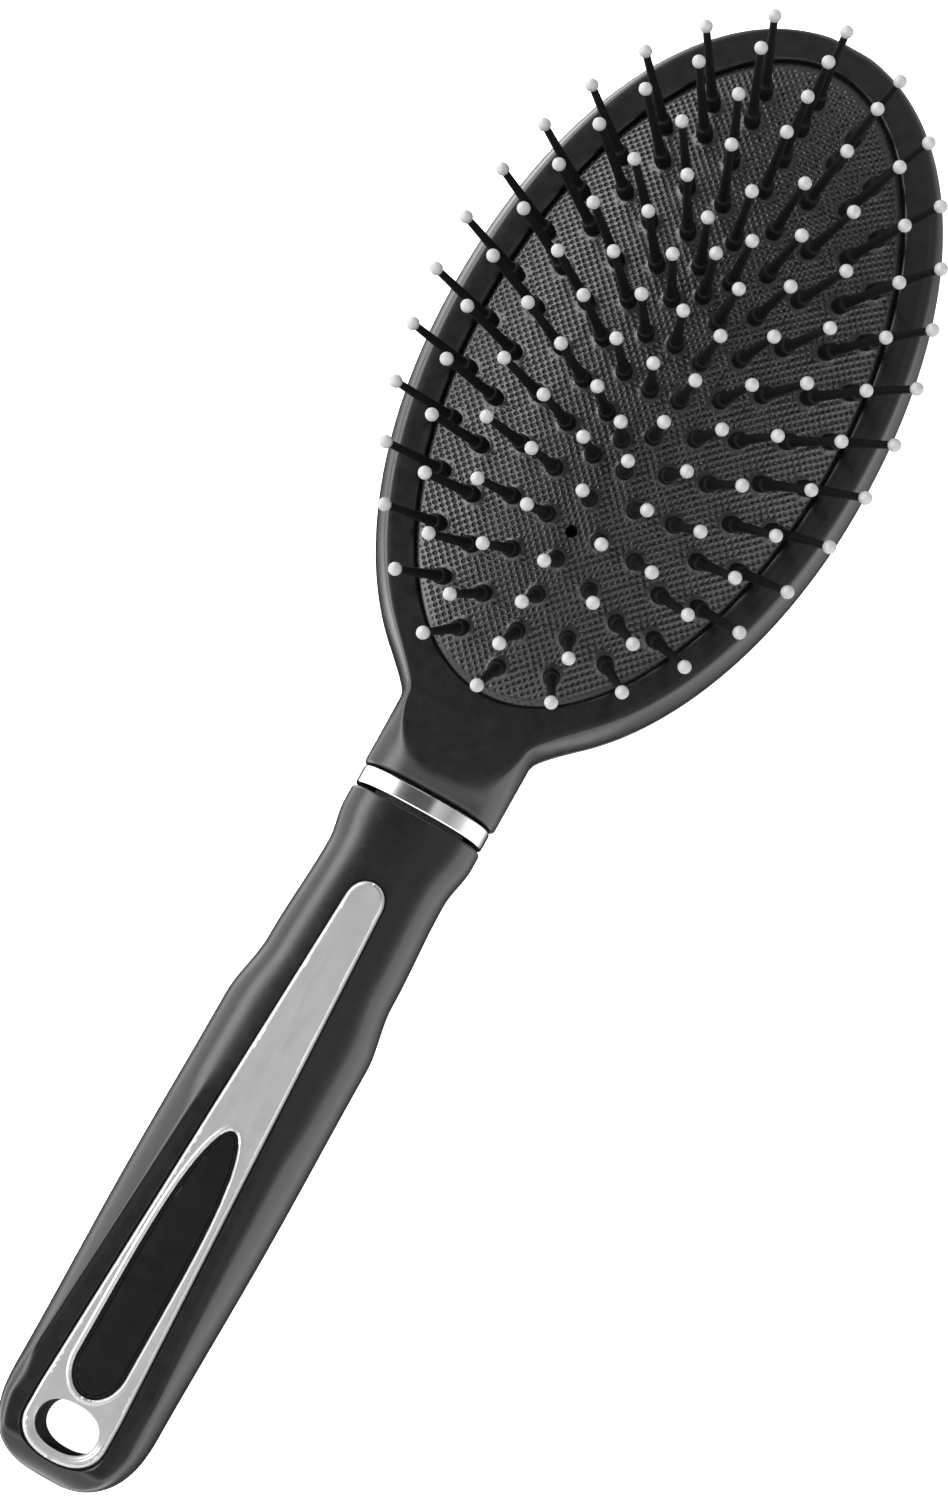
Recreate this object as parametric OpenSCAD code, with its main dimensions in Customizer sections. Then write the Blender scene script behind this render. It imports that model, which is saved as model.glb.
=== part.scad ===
// Oval pneumatic cushion hair brush with ball-tipped pins and a two-part grip.
// It lies on its back: +Y runs from the handle to the head's tip, +Z is the way the pins point.

/* [Overall] */
// Length from the handle's end to the head's tip
total_l = 242; // [238:1:250]
// Height of the moulding parting plane above the resting surface
part_z = 7; // [6.5:0.1:7.5]
// Wall thickness of the moulded shells
wall = 2.0; // [1.8:0.1:2.3]

/* [Head] */
// Half width of the head
head_a = 34.6; // [34:0.1:36]
// Half length of the head's oval
head_b = 60.3; // [60:0.1:62]
// Width of the sloping side wall, seen from the front
side_w = 1.7; // [1.6:0.1:2.4]
// Height of the front rim's plane
rim_z = 14; // [13.5:0.1:14.5]
// Half width of the neck
neck_w = 10.8; // [10.2:0.1:11]

/* [Cushion] */
// Half width of the opening in the front frame
open_a = 28.5; // [28:0.1:29]
// Half length of the opening in the front frame
open_b = 54.4; // [54:0.1:55]
// Height of the cushion's crown above the rim's plane
crown_h = 7; // [6:0.1:8]
// Thickness of the rubber membrane
membrane_t = 1.2; // [1:0.1:1.4]
// Radius of the air vent
vent_r = 0.7; // [0.5:0.05:0.9]

/* [Pins] */
// Length from the membrane to the centre of the ball tip
pin_l = 15.8; // [14:0.1:17]
// Radius of the ball tips
ball_r = 1.0; // [0.8:0.05:1.1]
// Outward lean of a pin for each millimetre off the long axis
lean_x = 0.0268; // [0.02:0.0001:0.028]
// Lengthwise lean of a pin for each millimetre from the cushion's centre
lean_y = 0.009; // [0.006:0.0001:0.01]

/* [Collar and handle] */
// Half width of the bright collar
collar_w = 10.4; // [10:0.1:10.6]
// Length of the collar
collar_l = 2.8; // [2.4:0.1:3]
// Greatest half width of the grip
grip_w = 11.8; // [11.4:0.1:12.2]
// Height of the grip's flat front
grip_z = 15.2; // [15:0.1:15.6]
// Height of the bright trim's face
trim_z = 15.5; // [15.3:0.05:15.8]
// Half width of the hanging hole
hole_a = 4.7; // [4.4:0.05:4.8]
// Half height of the hanging hole
hole_b = 3.45; // [3.3:0.05:3.6]

/* [Hidden] */
$fn = 48;
tip_y = total_l / 2;
end_y = -total_l / 2;
cushion_y = tip_y - head_b;
// The joint between head and handle, in order along the brush
neck_l = 70.6;
neck_end_y = cushion_y - neck_l;
collar_y = neck_end_y - 0.4 - collar_l;
grip_top_y = collar_y - 0.5;
// Radii of the grip's rounded end, seen from the front and from the side
end_r = 13;
edge_r = 4.5;
// Exponents of the front and back sections, and points across a section
front_n = 2.6;
back_n = 2.4;
ARC = 24;
// Head outline: exponents of the oval's upper and lower halves. Below blend_y from the cushion's
// centre the neck is blended in over neck_blend
upper_n = 2.1;
lower_n = 2.02;
blend_y = -30;
neck_blend = 5.5;
// The tongue that the rim's flat makes on the neck: half width, root, length and blend
tongue_half = 9.9;
tongue_y = -57;
tongue_l = 11.8;
tongue_blend = 7;
// Grip outline: half width at the shoulder, then each change as [where it starts, length, amount]
shoulder_w = 10.6;
GRIP_STEPS = [[-16, 6.5, -0.95], [-23, 16, 0.65], [-39, 10, 1.35], [-52, 22, grip_w - 11.65],
              [-76, 34, -0.45]];
// The grip's height changes from the neck's over this stretch
ramp_y = -14;
ramp_l = 14;
// The grip's flat: where it starts, its half width there, its taper and its round start
flat_y = -29.3;
flat_half = 5.2;
flat_taper = 0.058;
flat_cap = 11;
// Where a closed end stops short of a point
tiny = 0.05;
// Depths below the parting plane: a little over part_z gives the flat it rests on
head_d = 7.3;
grip_d = 7.5;
neck_d = 6.4;
// Cushion: clearance in the opening, flange and the springing line of the crown
fit = 0.3;
pad_a = open_a - fit;
pad_b = open_b - fit;
base_z = rim_z - 0.8;
rise = rim_z + crown_h - base_z;
barrel_r = (pad_a * pad_a + rise * rise) / (2 * rise);
long_r = (pad_b * pad_b + rise * rise) / (2 * rise);
flange_w = 2;
flange_z = rim_z - wall - membrane_t - 0.1;
retainer_h = 2;
// Pin: flange and stem below the boss, tapering shank above it
flange_r = 1.7;
flange_t = 0.8;
flange_gap = 0.45;
stem_r = 1.05;
stem_gap = 0.15;
boss_z = 0.45;
boss_l = 1.85;
boss_r = 1.3;
shank_r = 0.8;
shank_end_r = 0.55;
ball_flat = 0.8;
// Core: a plug through the collar, with rounded sides of exponent core_n
core_a = 7.3;
core_h = 4.2;
core_z = 7.1;
core_l = 51;
core_in = 11;
core_n = 2.5;
core_gap = 0.1;
// Trim and insert, set in a pocket of the grip's front: ends, half widths, and end roundings
trim_top = -25.5;
trim_low = end_y + 3.1;
trim_top_w = 2.73;
trim_taper = 0.0428;
trim_low_w = 6.3;
trim_cap = [3.3, 5];
pad_top = -66;
pad_low = -108.2;
pad_w = 3.93;
pad_cap = [28, 5];
pocket_z = 14;
pocket_gap = 0.15;
bevel = 0.9;
hole_y = end_y + 8.1;
hole_wall = 1.4;
vent_y = -28;
// Each ring of pins: half width, half length, centre offset, number of pins, outline exponent
RINGS = [[26.1, 49, -0.8, 30, 1.88], [20.6, 43.4, -0.6, 28, 2], [14.5, 37.5, -0.7, 22, 1.94],
         [9.6, 31.7, -0.8, 20, 1.67], [4.6, 22, -0.7, 14, 1.58]];
ROW_Y = [11.7, 3.1, -4.6, -13.0];

// ---- Curves -------------------------------------------------------------------------------
function clamp01(t) = min(1, max(0, t));
function ease(t) = let (u = clamp01(t)) u * u * (3 - 2 * u);
function mix(a, b, t) = a + (b - a) * t;
// Superellipse quarter: 1 at t = 0, 0 at t = 1
function quarter(t, n) = pow(max(0, 1 - pow(clamp01(abs(t)), n)), 1 / n);
// Larger of two values, with the corner between them filled over k
function soft_max(a, b, k) = let (h = max(k - abs(a - b), 0) / k) max(a, b) + h * h * k / 4;
function cos_steps(a, b, n) = [for (i = [0 : n]) mix(a, b, (1 - cos(180 * i / n)) / 2)];
function mirrored(half) = concat(half, [for (i = [len(half) - 1 : -1 : 0]) [-half[i][0], half[i][1]]]);
function oval(a, b, n = 96) = [for (i = [0 : n - 1]) [a * cos(360 * i / n), b * sin(360 * i / n)]];

// ---- Outlines: half widths at a place y along the brush --------------------------------------
// Every outline and height can be drawn inset by t, which gives the inside of a shell
function oval_w(dy, a, b) = a * quarter(dy / b, dy > 0 ? upper_n : lower_n);
function head_w(y, t = 0) = let (dy = y - cushion_y, w = oval_w(dy, head_a - t, head_b - t))
    dy > blend_y ? w : soft_max(w, neck_w - t, neck_blend);
// The flat of the rim runs down the neck as a tongue, and the blend dies out at its end
function tongue_w(dy) = tongue_half * sqrt(1 - pow(clamp01((tongue_y - dy) / tongue_l), 2.2));
function face_w(y, t = 0) =
    let (dy = y - cushion_y, w = oval_w(dy, head_a - side_w - t, head_b - side_w + 0.3 - t),
         left = clamp01((dy - tongue_y + tongue_l) / 9))
    dy > blend_y ? w : soft_max(w, max(0, tongue_w(dy) - t), tongue_blend * left + 0.01);
// Straight shoulders, a waist, a swelling and a rounded end
function sum(v) = v * [for (x = v) 1];
function grip_body_w(y) = shoulder_w + sum([for (s = GRIP_STEPS) s[2] * ease((s[0] - y) / s[1])]);
function end_round(y, r, t, n) = quarter(max(0, end_y + r - y) / (r - t - tiny), n);
function grip_half_w(y, t = 0) = (grip_body_w(y) - t) * end_round(y, end_r, t, 2.6);
function flat_w(y, t = 0) = let (d = y - flat_y)
    min(0.9 * grip_half_w(y, t), (flat_half - flat_taper * d) * quarter(max(0, d) / flat_cap, 2));
// Rounds an outline off over a length r from its end, d being the distance to that end
function cap(d, r, p, q) = pow(max(0, 1 - pow(clamp01(1 - d / r), p)), 1 / q);
function trim_w(y, t = 0) = (min(trim_low_w, trim_top_w - trim_taper * (y - trim_top)) - t)
    * cap(trim_top - t - y, trim_cap[0], 2.2, 2.2) * cap(y - trim_low - t, trim_cap[1], 2.3, 2.3);
function insert_w(y, t = 0) = (pad_w - t)
    * cap(pad_top - t - y, pad_cap[0], 3, 2) * cap(y - pad_low - t, pad_cap[1], 2, 2);

// ---- Heights ---------------------------------------------------------------------------------
// A front section: superellipse above the parting plane, cut flat over the half width f
function front_arc(y, w, f, top) = let (h = (top - part_z) / quarter(f / w, front_n))
    [for (i = [0 : ARC]) let (a = 180 * i / ARC - 90)
        [w * rounded(sin(a), front_n), y,
         min(top, part_z + h * pow(max(0, cos(a)), 2 / front_n))]];
// A back section of depth d below the parting plane, cut flat at the height floor_z
function back_arc(y, w, d, floor_z) = [for (i = [0 : ARC]) let (a = 180 * i / ARC - 90)
    [w * rounded(sin(a), back_n), y,
     max(floor_z, part_z - d * pow(max(0, cos(a)), 2 / back_n))]];
function head_end(t) = tip_y - t - tiny;
function head_top(y, t = 0) = part_z
    + (rim_z - t - part_z) * quarter(max(0, y - head_end(t) + side_w) / side_w, 2);
function head_depth(y, t = 0) = let (dy = y - cushion_y)
    (head_d - t) * quarter(max(0, dy) / (head_end(t) - cushion_y), back_n)
    - (head_d - neck_d) * ease((blend_y - dy) / 30);
function grip_ramp(y) = ease((ramp_y - y) / ramp_l);
function grip_top(y, t = 0) = part_z
    + (mix(rim_z, grip_z, grip_ramp(y)) - part_z - t) * end_round(y, edge_r, t, 2.2);
function grip_depth(y, t = 0) = (mix(neck_d, grip_d, grip_ramp(y)) - t)
    * end_round(y, edge_r, t, 2.2);
// The cushion's crown is a barrel whose two radii follow from its half widths and its rise
function barrel_at(y) = barrel_r - long_r + sqrt(long_r * long_r - y * y);
function crown_z(x, y) = base_z + rise - barrel_r + sqrt(pow(barrel_at(y), 2) - x * x);

// ---- Pins ------------------------------------------------------------------------------------
// A point of a ring's outline, a superellipse, at the angle t from the head's tip
function rounded(v, n) = sign(v) * pow(abs(v), 2 / n);
function ring_point(r, t) = [r[0] * rounded(sin(t), r[4]), r[1] * rounded(cos(t), r[4]) + r[2]];
// Running length round the outline against the angle, as pairs for lookup()
function run(r, n, i = 0, s = 0) = i > n ? [] : let (t = 360 * i / n, u = 360 * (i + 1) / n)
    concat([[s, t]], run(r, n, i + 1, s + norm(ring_point(r, u) - ring_point(r, t))));
function ring_spots(r) = let (table = run(r, 240), all = table[240][0])
    [for (k = [0 : r[3] - 1]) ring_point(r, lookup(all * k / r[3], table))];
function spots(k) = k < 6 ? ring_spots(RINGS[k - 1]) : [for (y = ROW_Y) [0, y]];

// Puts a pin's own axis on the crown at the spot p, leaning outward
module on_crown(p) {
    lean = [lean_x * p[0], lean_y * p[1], 1];
    translate([p[0], cushion_y + p[1], crown_z(p[0], p[1])])
        rotate([0, acos(1 / norm(lean)), atan2(lean[1], lean[0])]) children();
}
module pin() {
    under = -membrane_t - flange_gap;
    top = pin_l - ball_flat;
    rotate_extrude() polygon([[0, under - flange_t], [flange_r, under - flange_t],
        [flange_r, under], [stem_r, under], [stem_r, boss_z], [boss_r, boss_z],
        [boss_r - 0.15, boss_z + boss_l], [shank_r, boss_z + boss_l], [shank_end_r, top], [0, top]]);
}
module ball_tip() {
    translate([0, 0, pin_l]) rotate_extrude() intersection() {
        circle(r = ball_r);
        translate([0, -ball_flat]) square([2 * ball_r, 2 * ball_r]);
    }
}
module pins(k) {
    color([0.06, 0.06, 0.065]) for (p = spots(k)) on_crown(p) pin();
}
module tips(k) {
    color([0.88, 0.88, 0.87]) for (p = spots(k)) on_crown(p) ball_tip();
}

// ---- Ways of building --------------------------------------------------------------------------
// A closed wall between an outer and an inner grid of points
module wall_between(outer, inner, flip = false) {
    m = len(outer);
    n = len(outer[0]);
    points = [for (grid = [outer, inner], row = grid) each row];
    at = function (side, i, j) side * m * n + i * n + j;
    quad = function (a, b, c, d) flip ? [[a, b, c], [a, c, d]] : [[c, b, a], [d, c, a]];
    skins = [for (i = [0 : m - 2], j = [0 : n - 2]) each concat(
        quad(at(0, i, j), at(0, i, j + 1), at(0, i + 1, j + 1), at(0, i + 1, j)),
        quad(at(1, i, j), at(1, i + 1, j), at(1, i + 1, j + 1), at(1, i, j + 1)))];
    ends = [for (j = [0 : n - 2]) each concat(
        quad(at(0, 0, j), at(1, 0, j), at(1, 0, j + 1), at(0, 0, j + 1)),
        quad(at(0, m - 1, j), at(0, m - 1, j + 1), at(1, m - 1, j + 1), at(1, m - 1, j)))];
    rims = [for (i = [0 : m - 2]) each concat(
        quad(at(0, i, 0), at(0, i + 1, 0), at(1, i + 1, 0), at(1, i, 0)),
        quad(at(0, i, n - 1), at(1, i, n - 1), at(1, i + 1, n - 1), at(0, i + 1, n - 1)))];
    polyhedron(points, concat(skins, ends, rims));
}
// Stacks outlines, each with its height, into a closed solid
module stack(layers) {
    n = len(layers[0][0]);
    top = (len(layers) - 1) * n;
    sides = [for (i = [0 : len(layers) - 2], j = [0 : n - 1])
        let (a = i * n + j, b = i * n + (j + 1) % n) each [[a, a + n, b + n], [a, b + n, b]]];
    polyhedron([for (l = layers, p = l[0]) [p[0], p[1], l[1]]],
        concat([[for (j = [0 : n - 1]) j], [for (j = [n - 1 : -1 : 0]) top + j]], sides));
}
// Outlines from the half widths above
function trim_line(t) = mirrored([for (y = cos_steps(trim_low + t + tiny, trim_top - t - tiny, 44))
    [trim_w(y, t), y]]);
function insert_line(t) = mirrored([for (y = cos_steps(pad_low + t + tiny, pad_top - t - tiny, 40))
    [insert_w(y, t), y]]);
function rounded_line(a, b, n) = [for (i = [0 : 71]) let (c = cos(5 * i), s = sin(5 * i))
    [a * rounded(c, n), b * rounded(s, n)]];
// A plate across the handle: an outline in X and Z, centred on the height z
module across(y, l, z) {
    translate([0, y, z]) rotate([90, 0, 0]) linear_extrude(l) children();
}
// The hanging hole: a slot with round ends, grown by g
module hang_slot(g, z0, z1) {
    r = hole_b + g;
    straight = hole_a - hole_b;
    translate([0, hole_y, z0]) {
        for (s = [-1, 1]) translate([s * straight, 0, 0]) cylinder(r = r, h = z1 - z0);
        translate([-straight, -r, 0]) cube([2 * straight, 2 * r, z1 - z0]);
    }
}

// ---- Head --------------------------------------------------------------------------------------
function head_rows(t) = let (mid = cushion_y + blend_y)
    concat([for (i = [0 : 15]) mix(neck_end_y, mid, i / 16)],
           [for (i = [0 : 22]) mix(mid, head_end(t), sin(90 * i / 22))]);
module head_front_frame() {
    color([0.13, 0.13, 0.135]) difference() {
        wall_between(
            [for (y = head_rows(0)) front_arc(y, head_w(y), face_w(y), head_top(y))],
            [for (y = head_rows(wall))
                front_arc(y, head_w(y, wall), face_w(y, wall), head_top(y, wall))]);
        translate([0, cushion_y, part_z]) linear_extrude(rim_z) polygon(oval(open_a, open_b));
    }
}
module head_back_shell() {
    color([0.16, 0.16, 0.165]) wall_between(
        [for (y = head_rows(0)) back_arc(y, head_w(y), head_depth(y), 0)],
        [for (y = head_rows(wall)) back_arc(y, head_w(y, wall), head_depth(y, wall), wall)], true);
}

// ---- Cushion -----------------------------------------------------------------------------------
// Solid of revolution about the long axis, thinned by t
module barrel(t) {
    translate([0, 0, base_z + rise - barrel_r]) rotate([-90, 0, 0]) rotate_extrude()
        intersection() {
            translate([barrel_r - long_r, 0]) circle(r = long_r - t);
            translate([0, -tip_y]) square([2 * barrel_r, 2 * tip_y]);
        }
}
module crown(t, z0) {
    intersection() {
        barrel(t);
        translate([0, 0, z0]) linear_extrude(rim_z + crown_h)
            polygon(oval(pad_a - t, pad_b - t));
    }
}
module cushion_membrane() {
    color([0.24, 0.24, 0.25]) translate([0, cushion_y, 0]) difference() {
        union() {
            crown(0, flange_z);
            translate([0, 0, flange_z]) linear_extrude(membrane_t)
                polygon(oval(pad_a + flange_w, pad_b + flange_w));
        }
        crown(membrane_t, flange_z - 1);
        for (k = [1 : 6], p = spots(k)) translate([0, -cushion_y, 0]) on_crown(p)
            translate([0, 0, -2 * membrane_t]) cylinder(r = stem_r + stem_gap, h = 4 * membrane_t);
        translate([0, vent_y, rim_z]) cylinder(r = vent_r, h = 2 * crown_h);
    }
}
module membrane_retainer() {
    color([0.2, 0.2, 0.21]) translate([0, cushion_y, flange_z - 0.1 - retainer_h])
        linear_extrude(retainer_h) difference() {
            polygon(oval(pad_a + flange_w, pad_b + flange_w));
            polygon(oval(pad_a - membrane_t, pad_b - membrane_t));
        }
}

// ---- Collar and handle -------------------------------------------------------------------------
module handle_core() {
    color([0.3, 0.3, 0.31]) across(neck_end_y + core_in, core_l, core_z)
        polygon(rounded_line(core_a, core_h, core_n));
}
module collar_ring() {
    color([0.82, 0.82, 0.83]) difference() {
        across(collar_y + collar_l, collar_l, core_z + 0.25)
            polygon(rounded_line(collar_w, part_z, front_n));
        across(collar_y + collar_l + 1, collar_l + 2, core_z)
            polygon(rounded_line(core_a + core_gap, core_h + core_gap, core_n));
    }
}
function grip_rows(t) = concat([for (i = [0 : 19]) mix(grip_top_y, end_y + end_r, i / 20)],
    [for (i = [0 : 10]) mix(end_y + end_r, end_y + t + tiny, sin(9 * i))]);
module grip_front_shell() {
    color([0.15, 0.15, 0.155]) difference() {
        union() {
            wall_between(
                [for (y = grip_rows(0)) front_arc(y, grip_half_w(y), flat_w(y), grip_top(y))],
                [for (y = grip_rows(wall))
                    front_arc(y, grip_half_w(y, wall), flat_w(y, wall), grip_top(y, wall))], true);
            hang_slot(hole_wall, part_z, pocket_z + 0.3);
        }
        translate([0, 0, pocket_z]) linear_extrude(wall + 1) polygon(trim_line(-pocket_gap));
        hang_slot(0, part_z - 1, grip_z + 1);
    }
}
module grip_back_shell() {
    color([0.15, 0.15, 0.155]) difference() {
        union() {
            wall_between(
                [for (y = grip_rows(0)) back_arc(y, grip_half_w(y), grip_depth(y), 0)],
                [for (y = grip_rows(wall))
                    back_arc(y, grip_half_w(y, wall), grip_depth(y, wall), wall)]);
            hang_slot(hole_wall, wall / 2, part_z);
        }
        hang_slot(0, -1, part_z + 1);
    }
}
module grip_trim() {
    color([0.78, 0.78, 0.79]) difference() {
        stack([[trim_line(0), pocket_z + tiny], [trim_line(0), grip_z - 0.1],
               [trim_line(bevel), trim_z]]);
        translate([0, 0, pocket_z - 1]) linear_extrude(wall + 2) polygon(insert_line(0));
        hang_slot(0, pocket_z - 1, trim_z + 1);
    }
}
module grip_insert() {
    color([0.12, 0.12, 0.125]) stack([[insert_line(pocket_gap), pocket_z + tiny],
        [insert_line(pocket_gap), trim_z - 0.5], [insert_line(0.5), trim_z - 0.25]]);
}

head_front_frame();
head_back_shell();
cushion_membrane();
membrane_retainer();
pins(1);  // pins_ring_1
pins(2);  // pins_ring_2
pins(3);  // pins_ring_3
pins(4);  // pins_ring_4
pins(5);  // pins_ring_5
pins(6);  // pins_ring_6
tips(1);  // tips_ring_1
tips(2);  // tips_ring_2
tips(3);  // tips_ring_3
tips(4);  // tips_ring_4
tips(5);  // tips_ring_5
tips(6);  // tips_ring_6
handle_core();
collar_ring();
grip_front_shell();
grip_back_shell();
grip_trim();
grip_insert();
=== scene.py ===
"""Looks of the oval cushion hair brush: shells, embossed rubber, pins, chrome collar and satin trim.

Lengths in the shape functions are millimetres in the CAD frame, and MM turns them into metres.
"""
import math

import bpy
import numpy as np
from mathutils import Matrix, Vector


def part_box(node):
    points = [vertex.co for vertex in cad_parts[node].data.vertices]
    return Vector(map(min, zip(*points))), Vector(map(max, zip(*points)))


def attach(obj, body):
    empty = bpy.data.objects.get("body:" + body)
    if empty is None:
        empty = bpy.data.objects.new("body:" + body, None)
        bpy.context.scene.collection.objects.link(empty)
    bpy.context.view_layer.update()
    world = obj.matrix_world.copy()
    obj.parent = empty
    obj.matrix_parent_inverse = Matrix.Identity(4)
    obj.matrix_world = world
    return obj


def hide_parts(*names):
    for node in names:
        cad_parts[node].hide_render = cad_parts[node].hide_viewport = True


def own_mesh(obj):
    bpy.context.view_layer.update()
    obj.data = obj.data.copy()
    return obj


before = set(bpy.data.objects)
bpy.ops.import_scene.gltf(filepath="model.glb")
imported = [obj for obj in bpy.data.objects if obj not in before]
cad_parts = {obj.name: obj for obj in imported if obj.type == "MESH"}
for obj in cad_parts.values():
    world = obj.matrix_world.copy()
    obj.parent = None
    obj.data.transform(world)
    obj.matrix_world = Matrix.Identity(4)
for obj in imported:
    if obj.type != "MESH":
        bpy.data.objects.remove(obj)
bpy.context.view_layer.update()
MM = 0.001


def corner(node, high):
    """The lowest or highest corner of a CAD node, in millimetres."""
    return np.array(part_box(node)[1 if high else 0]) / MM


# ---- Driving sizes, read from the frame ---------------------------------------------------------
TIP_Y = corner("head_front_frame", True)[1]
END_Y = corner("grip_back_shell", False)[1]
HEAD_A = corner("head_front_frame", True)[0]
RIM_Z = corner("head_front_frame", True)[2]
PART_Z = corner("head_back_shell", True)[2]
NECK_END_Y = corner("head_front_frame", False)[1]
GRIP_TOP_Y = corner("grip_front_shell", True)[1]
GRIP_W = corner("grip_front_shell", True)[0]
GRIP_Z = corner("grip_front_shell", True)[2]
COLLAR_LOW = corner("collar_ring", False)
COLLAR_HIGH = corner("collar_ring", True)
TRIM_TOP = corner("grip_trim", True)[1]
TRIM_LOW = corner("grip_trim", False)[1]
TRIM_Z = corner("grip_trim", True)[2]
POCKET_Z = corner("grip_trim", False)[2]
# The insert's recess is larger than the insert by these gaps at the ends and at the sides
END_GAP, SIDE_GAP = 0.2, 0.15
PAD_TOP = corner("grip_insert", True)[1] + END_GAP
PAD_LOW = corner("grip_insert", False)[1] - END_GAP
PAD_W = corner("grip_insert", True)[0] + SIDE_GAP
CROWN_Z = corner("cushion_membrane", True)[2]
FLANGE_Z = corner("cushion_membrane", False)[2]
FLANGE_W = 2.0
PAD_A = corner("cushion_membrane", True)[0] - FLANGE_W
PAD_B = (corner("cushion_membrane", True)[1] - corner("cushion_membrane", False)[1]) / 2 - FLANGE_W
CUSHION_Y = (corner("cushion_membrane", True)[1] + corner("cushion_membrane", False)[1]) / 2
HEAD_B = TIP_Y - CUSHION_Y

# ---- Sizes that follow the CAD's source ---------------------------------------------------------
# Clearance of the cushion in its opening, and the shells' wall
FIT, WALL = 0.3, 2.0
# Head outline: exponents of the oval's upper and lower halves, and the place below the cushion's
# centre from which the neck is blended in
UPPER_N, LOWER_N = 2.1, 2.02
BLEND_Y = -30
NECK_W, NECK_BLEND = 10.8, 5.5
# The sloping side round the rim's flat, and how much less of it there is at the tip
SIDE_W, SIDE_LESS = 1.7, 0.3
# The tongue that the rim's flat makes on the neck: half width, root, length and exponent, then its
# blend with the rim and the length over which the blend dies out
TONGUE_HALF, TONGUE_Y, TONGUE_L, TONGUE_N = 9.9, -57, 11.8, 2.2
TONGUE_BLEND, TONGUE_RUN = 7, 9
# Depths of head, grip and neck below the parting plane, and the length over which the head's changes
HEAD_D, GRIP_D, NECK_D = 7.3, 7.5, 6.4
DEPTH_RUN = 30
# Exponents of the front and back sections
FRONT_N, BACK_N = 2.6, 2.4
# The grip's end: radii and exponents seen from the front and from the side
END_R, EDGE_R = 13.0, 4.5
END_N, EDGE_N = 2.6, 2.2
# The grip's half width at its shoulder, then each change as where it starts, its length, its amount
SHOULDER_W = 10.6
GRIP_STEPS = [(-16, 6.5, -0.95), (-23, 16, 0.65), (-39, 10, 1.35), (-52, 22, GRIP_W - 11.65),
              (-76, 34, -0.45)]
# The grip's height changes from the neck's over this stretch
RAMP_Y, RAMP_L = -14, 14
# The grip's flat: where it starts, half width there, taper, round start, and most share of the width
FLAT_Y, FLAT_HALF, FLAT_TAPER, FLAT_CAP, FLAT_SHARE = -29.3, 5.2, 0.058, 11, 0.9
# The trim: half width at its top, taper, greatest half width. Then each plate's rounding at the
# top and at the low end, as length and two exponents
TRIM_TOP_W, TRIM_TAPER, TRIM_LOW_W = 2.73, 0.0428, 6.3
TRIM_CAPS = (3.3, 2.2, 2.2), (5, 2.3, 2.3)
INSERT_CAPS = (28, 3, 2), (5, 2, 2)
# The hanging hole: half width, half length, exponent that comes close to the CAD's slot, place, and
# the wall round it
HOLE_A, HOLE_B, HOLE_N = 4.7, 3.45, 2.25
HOLE_Y = END_Y + 8.1
HOLE_WALL = 1.4
# The core's bore through the collar: half width, half height, exponent, and drop from the middle
BORE_A, BORE_H, BORE_N, BORE_DROP = 7.45, 4.35, 2.5, 0.25
# The cushion's crown is a barrel whose two radii follow from its half widths and its rise
BASE_Z = RIM_Z - 0.8
RISE = CROWN_Z - BASE_Z
BARREL_R = (PAD_A ** 2 + RISE ** 2) / (2 * RISE)
LONG_R = (PAD_B ** 2 + RISE ** 2) / (2 * RISE)
# Each ring of pins: half width, half length, centre offset, number of pins, outline exponent
RINGS = [(26.1, 49, -0.8, 30, 1.88), (20.6, 43.4, -0.6, 28, 2), (14.5, 37.5, -0.7, 22, 1.94),
         (9.6, 31.7, -0.8, 20, 1.67), (4.6, 22, -0.7, 14, 1.58)]
ROW_Y = [11.7, 3.1, -4.6, -13.0]
PIN_L, BALL_R, BALL_FLAT = 15.8, 1.0, 0.8
# A pin leans by this much for each millimetre of its place across and along
LEAN_X, LEAN_Y = 0.0268, 0.009

# ---- Sizes of what only the looks have ----------------------------------------------------------
# How far a shell's closed end and a plate's outline stop short of their points
CLOSE, POINT_GAP = 0.00001, 0.02
# The neck's last stretch falls toward the collar: by how much, over what length, with what exponent
NECK_FALL, NECK_FALL_L, NECK_FALL_N = 0.75, 3.4, 1.5
# The fine groove where front and back shells meet
GROOVE, GROOVE_W = 0.4, 0.25
# The rounded edge that head and grip have toward the collar: its radius and the rows along it
EDGE = 0.5
EDGE_ROWS = (0, 0.03, 0.08, 0.16, 0.27, 0.4, 0.5)
COLLAR_EDGE = 0.3
COLLAR_ROWS = (0, 0.02, 0.06, 0.12, 0.2, 0.3)
# Softness of the edges of the rim's flat on the left and right, and of the backs' flat
RIM_SOFT = (0.45, 0.8)
PLAIN_SOFT = (0.3, 0.3)
BACK_SOFT = 0.6
# The grip's crease: softness where it fades, softness where sharp, height and width of its bead,
# and where it sharpens and fades, each with a length
FADED, SHARP_LEFT, SHARP_RIGHT = 2.2, 0.5, 0.8
BEAD, BEAD_W = 0.18, 0.35
SHARP_TOP, SHARP_TOP_L = -58, 10
SHARP_LOW, SHARP_LOW_L = -110, 6
# The rubber's embossing: pits on a centred grid, with this spacing across and along
PIT_X, PIT_Y, PIT_DEPTH = 1.25, 1.33, 0.32
# Plain rubber round each pin, standing up a little, and the plain border as a share of the crown
PIN_RIM, PIN_RIM_UP = 1.7, 0.12
BORDER = 0.985
# The air vent's place from the cushion's centre, and its radius
VENT_Y, VENT_R = -28.0, 0.85


# ---- Curves -------------------------------------------------------------------------------------
def ease(t):
    u = np.clip(t, 0, 1)
    return u * u * (3 - 2 * u)


def mix(a, b, t):
    return a + (b - a) * t


def quarter(t, n):
    """Superellipse quarter: 1 at t = 0, 0 at t = 1."""
    return np.maximum(0, 1 - np.clip(np.abs(t), 0, 1) ** n) ** (1 / n)


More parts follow.
